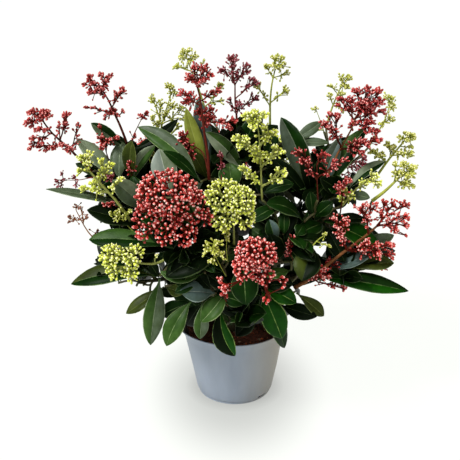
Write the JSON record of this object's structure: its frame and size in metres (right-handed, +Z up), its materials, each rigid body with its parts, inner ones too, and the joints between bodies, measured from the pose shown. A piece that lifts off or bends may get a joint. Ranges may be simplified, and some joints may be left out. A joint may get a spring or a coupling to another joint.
{
  "type": "potted skimmia shrub",
  "caption": "Low evergreen shrub in a round nursery pot: stems and boughs from a root ball, masses of leaves, and panicles of red and green buds held on stalks above and among them.",
  "frame": {"origin": "middle of the pot's flat underside", "axes": "+Z up; -Y towards the side that shows the broadest flower heads; +X to the right of it"},
  "size_m": [0.4399, 0.3884, 0.41],
  "materials": {
    "pot_plastic": "thin moulded polypropylene, pale blue-grey, satin",
    "peat": "moist dark peat with crumbs of bark",
    "bark": "smooth brown-green young bark",
    "leaf": "leathery evergreen leaf, dark green, softly glossy",
    "red_stalk": "red-brown flower stalk, matt",
    "green_stalk": "yellow-green flower stalk, matt",
    "red_bud": "waxy dark red flower buds",
    "green_bud": "waxy yellow-green flower buds"
  },
  "bodies": {
    "root": {"pot": "pot_plastic", "root_ball": "peat", "stem_left": "bark", "stem_front": "bark", "stem_middle": "bark", "stem_right": "bark", "stem_back": "bark", "bough_left_low": "bark", "bough_front_low": "bark", "bough_front_right": "bark", "bough_right_low": "bark", "bough_back_right": "bark", "stalk_red_left_high": "red_stalk", "stalk_red_left_top": "red_stalk", "stalk_red_top": "red_stalk", "stalk_red_back_top": "red_stalk", "stalk_red_right_top": "red_stalk", "stalk_red_right": "red_stalk", "stalk_green_left": "green_stalk", "stalk_green_back_left": "green_stalk", "stalk_green_back_top": "green_stalk", "stalk_green_back_right": "green_stalk", "stalk_green_right_high": "green_stalk", "stalk_green_right": "green_stalk", "buds_red_left_high": "red_bud", "buds_red_left_top": "red_bud", "buds_red_top": "red_bud", "buds_red_back_top": "red_bud", "buds_red_right_top": "red_bud", "buds_red_right": "red_bud", "buds_red_right_inner": "red_bud", "buds_red_front_left": "red_bud", "buds_red_front_right": "red_bud", "buds_red_back_left": "red_bud", "buds_red_back": "red_bud", "buds_red_back_right": "red_bud", "buds_green_left": "green_bud", "buds_green_back_left": "green_bud", "buds_green_back_top": "green_bud", "buds_green_back_right": "green_bud", "buds_green_front_top": "green_bud", "buds_green_front": "green_bud", "buds_green_front_left": "green_bud", "buds_green_right_back": "green_bud", "buds_green_right_far": "green_bud", "buds_green_right_high": "green_bud", "buds_green_right": "green_bud", "buds_green_right_inner": "green_bud", "buds_green_back_low_left": "green_bud", "buds_green_back": "green_bud", "foliage_top": "leaf", "foliage_left_high": "leaf", "foliage_left_low": "leaf", "foliage_front_left": "leaf", "foliage_front_right": "leaf", "foliage_front_low": "leaf", "foliage_right_high": "leaf", "foliage_right_low": "leaf", "foliage_back_left": "leaf", "foliage_back_right": "leaf"}
  },
  "joints": []
}
